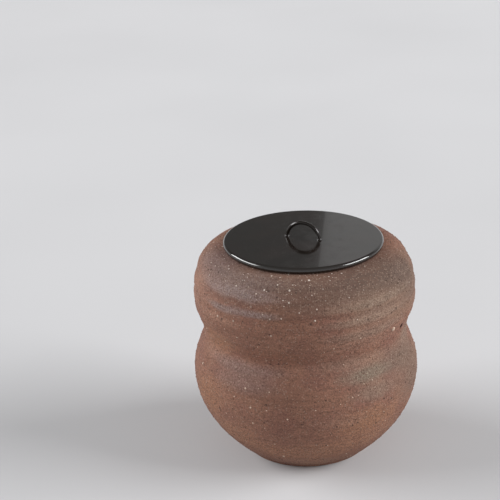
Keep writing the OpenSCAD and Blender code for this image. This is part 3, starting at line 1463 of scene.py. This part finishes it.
@dataclass
class HoopHandle:
    """The bent rod on the lid, with its flared feet and glued legs.

    Attributes:
        leg_x: Distance of a leg from the lid's middle.
        rod_r: Radius of the rod.
        flare_reach: Reach of a flared foot past the rod.
        flare_h: Height of a flared foot.
        turn: Turn of the hoop about the jar's axis, in degrees.
        arch_steps: Rows along the arch.
        segments: Points round the rod.
    """

    leg_x: float = 14 * MM
    rod_r: float = 1.5 * MM
    flare_reach: float = 0.9 * MM
    flare_h: float = 1.3 * MM
    turn: float = -22.0
    arch_steps: int = 160
    segments: int = 32

    def line(self) -> tuple[np.ndarray, np.ndarray, np.ndarray]:
        """Draws the rod's middle line, from the end of one leg over the arch to the end of the other.

        Returns:
            Its points and its directions, sideways and up, and the rod's radii there.
        """
        low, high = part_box("handle_hoop")
        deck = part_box("lid_board")[1].z
        rise = high.z - self.rod_r - deck
        arch_r = (self.leg_x ** 2 + rise ** 2) / (2 * rise)
        middle = deck + rise - arch_r
        lean = math.asin((deck - middle) / arch_r)
        angles = np.linspace(math.pi - lean, lean, self.arch_steps + 1)
        arch = np.column_stack([arch_r * np.cos(angles), middle + arch_r * np.sin(angles)])
        flare = np.clip(1 - (arch[:, 1] - deck) / self.flare_h, 0, 1) ** 2

        left = np.array([[-self.leg_x, low.z], [-self.leg_x, deck]])
        right = left[::-1] * (-1, 1)
        points = np.concatenate([left[:1], left, arch, right, right[1:]])
        headings = np.column_stack([np.sin(angles), -np.cos(angles)])
        headings = np.concatenate([[(0, 1)] * 3, headings, [(0, -1)] * 3])
        leg = [0.0, self.rod_r, self.rod_r]
        radii = np.concatenate([leg, self.rod_r + self.flare_reach * flare, leg[::-1]])
        return points, headings, radii

    def build(self, lacquer: Material) -> Object:
        """Builds the handle.

        Args:
            lacquer: The handle's lacquer.

        Returns:
            The handle.
        """
        points, headings, radii = self.line()
        rounds = np.arange(self.segments) * 2 * math.pi / self.segments
        out, level = np.cos(rounds), np.sin(rounds) + 0 * points[:, :1]
        ring = np.stack([headings[:, 1:] * out, level, -headings[:, :1] * out], axis=2)
        centre = np.column_stack([points[:, 0], 0 * points[:, 0], points[:, 1]])
        turn = Matrix.Rotation(math.radians(self.turn), 3, "Z")
        grid = (centre[:, None, :] + radii[:, None, None] * ring) @ np.array(turn.transposed())
        hoop = skinned("handle_hoop_visual", grid)
        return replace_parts(dressed(hoop, lacquer, Body.LID), "handle_hoop")


@dataclass(frozen=True)
class SoftLamp:
    """A large soft studio lamp that points at the jar.

    Attributes:
        name: Its name.
        place: Where it stands.
        width: Its width.
        height: Its height.
        power: Its power in watts.
    """

    name: str
    place: Point
    width: float
    height: float
    power: float

    def build(self, aim: Vector) -> None:
        """Puts the lamp in place, pointing at a point.

        Args:
            aim: The point.
        """
        light = bpy.data.lights.new(self.name, "AREA")
        light.shape = "RECTANGLE"
        light.size, light.size_y = self.width, self.height
        light.energy = self.power
        lamp = bpy.data.objects.new(self.name, light)
        lamp.location = self.place
        lamp.rotation_euler = (aim - Vector(self.place)).to_track_quat("-Z", "Y").to_euler()
        lamp.visible_camera = False
        bpy.context.scene.collection.objects.link(lamp)


SOFT_LAMPS = (
    SoftLamp("left_lamp", (-11.0, 1.6, 5.8), 11.4, 4.4, 1520.0),
    SoftLamp("right_lamp", (11.0, -1.0, 6.0), 8.8, 4.4, 1640.0),
    SoftLamp("back_panel", (1.37, 2.9, 1.25), 2.8, 1.8, 4.8),
)


@dataclass
class Studio:
    """The floor, the light and the camera.

    Attributes:
        floor_r: Radius of the round floor.
        floor_drop: Gap that keeps the floor clear of the base.
        floor_segments: Points round the floor.
        camera_place: Where the camera stands.
        pitch: How far it looks down, in degrees.
        yaw: How far it looks to the right, in degrees.
        roll: How far it is rolled, in degrees.
        lens: Its focal length in millimetres.
        sensor: Width of its sensor in millimetres.
        lamps: The soft lamps.
        aim: The point that the lamps point at.
        horizon: Tint of the light from low all round.
        zenith: Tint of the light from above.
        zenith_band: Upward shares of a direction between which the tint turns from horizon to zenith.
        back: Tint of the light from behind the jar, above the horizon.
        back_band: Backward shares of a direction between which that tint comes in.
        back_rise: Upward shares of a direction between which it comes in.
    """

    floor_r: float = 2.3
    floor_drop: float = 0.15 * MM
    floor_segments: int = 128
    camera_place: Point = (0.0, -1.128, 0.6272)
    pitch: float = 21.97
    yaw: float = -2.2
    roll: float = -2.0
    lens: float = 108.0
    sensor: float = 36.0
    lamps: tuple[SoftLamp, ...] = SOFT_LAMPS
    aim: Point = (0.0, 0.0, 0.1)
    horizon: str = "#d4d4d4"
    zenith: str = "#969696"
    zenith_band: Band = (0.1, 0.9)
    back: str = "#606060"
    back_band: Band = (0.0, 0.7)
    back_rise: Band = (0.12, 0.25)

    def build(self, paper: Material) -> None:
        """Builds the studio.

        Args:
            paper: The floor's material.
        """
        scene = bpy.context.scene
        scene.view_settings.view_transform = "Standard"
        mesh = bpy.data.meshes.new("floor")
        disc = bmesh.new()
        bmesh.ops.create_circle(disc, cap_ends=True, radius=self.floor_r, segments=self.floor_segments,
                                matrix=Matrix.Translation((0.0, 0.0, -self.floor_drop)))
        disc.to_mesh(mesh)
        disc.free()
        mesh.materials.append(paper)
        linked("floor", mesh)
        for lamp in self.lamps:
            lamp.build(Vector(self.aim))
        self.build_sky(scene)
        self.build_camera(scene)

    def build_sky(self, scene: Scene) -> None:
        """Lights the scene from all round, less from above and least from behind the jar.

        Args:
            scene: The scene.
        """
        scene.world = bpy.data.worlds.new("studio")
        scene.world.use_nodes = True
        graph = Graph(scene.world.node_tree)
        way = graph.parts(graph.node("ShaderNodeTexCoord").outputs["Generated"])
        tint = graph.blend(way["Z"], self.zenith_band, self.horizon, self.zenith)
        behind = graph.math("MULTIPLY", graph.remap(way["Y"], self.back_band),
                            graph.remap(way["Z"], self.back_rise))
        sky = next(n for n in graph.tree.nodes if n.type == "BACKGROUND")
        graph.feed(sky.inputs["Color"], graph.mix(behind, tint, paint(self.back)))

    def build_camera(self, scene: Scene) -> None:
        """Puts the camera at the viewer's place.

        Args:
            scene: The scene.
        """
        pitch, yaw, roll = (math.radians(a) for a in (self.pitch, self.yaw, self.roll))
        ahead = Vector((math.sin(yaw) * math.cos(pitch), math.cos(yaw) * math.cos(pitch), -math.sin(pitch)))
        right = Vector((math.cos(yaw), -math.sin(yaw), 0.0))
        up = right.cross(ahead)
        axes = (right * math.cos(roll) + up * math.sin(roll),
                up * math.cos(roll) - right * math.sin(roll), -ahead)
        camera = bpy.data.cameras.new("viewer")
        camera.sensor_width = self.sensor
        camera.lens = self.lens
        viewer = bpy.data.objects.new("viewer", camera)
        viewer.matrix_world = Matrix.Translation(self.camera_place) @ Matrix(axes).transposed().to_4x4()
        scene.collection.objects.link(viewer)
        scene.camera = viewer


def main() -> None:
    """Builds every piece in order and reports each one."""
    logging.basicConfig(level=logging.INFO, format="%(name)s: %(message)s")
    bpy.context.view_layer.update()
    polish = hand_polish()
    clay = Stoneware().material(blush_and_painted_light(), mineral_flecks())
    feldspar = Feldspar().material()

    jar = JarBody().build(thrown_relief(), clay)
    grit = Grit().build(jar, sown_grains(), feldspar, clay, Iron().material())
    lid = Lid().build(Lacquer("board_lacquer").material(polish))
    hoop = HoopHandle().build(Lacquer("hoop_lacquer", coat=0.15, shine=0.35).material(polish))
    Studio().build(FloorPaper().material())
    for piece in (jar, *grit, *lid, hoop):
        triangles = sum(len(face.vertices) - 2 for face in piece.data.polygons)
        log.info("%s: %d triangles", piece.name, triangles)


if __name__ == "__main__":
    main()
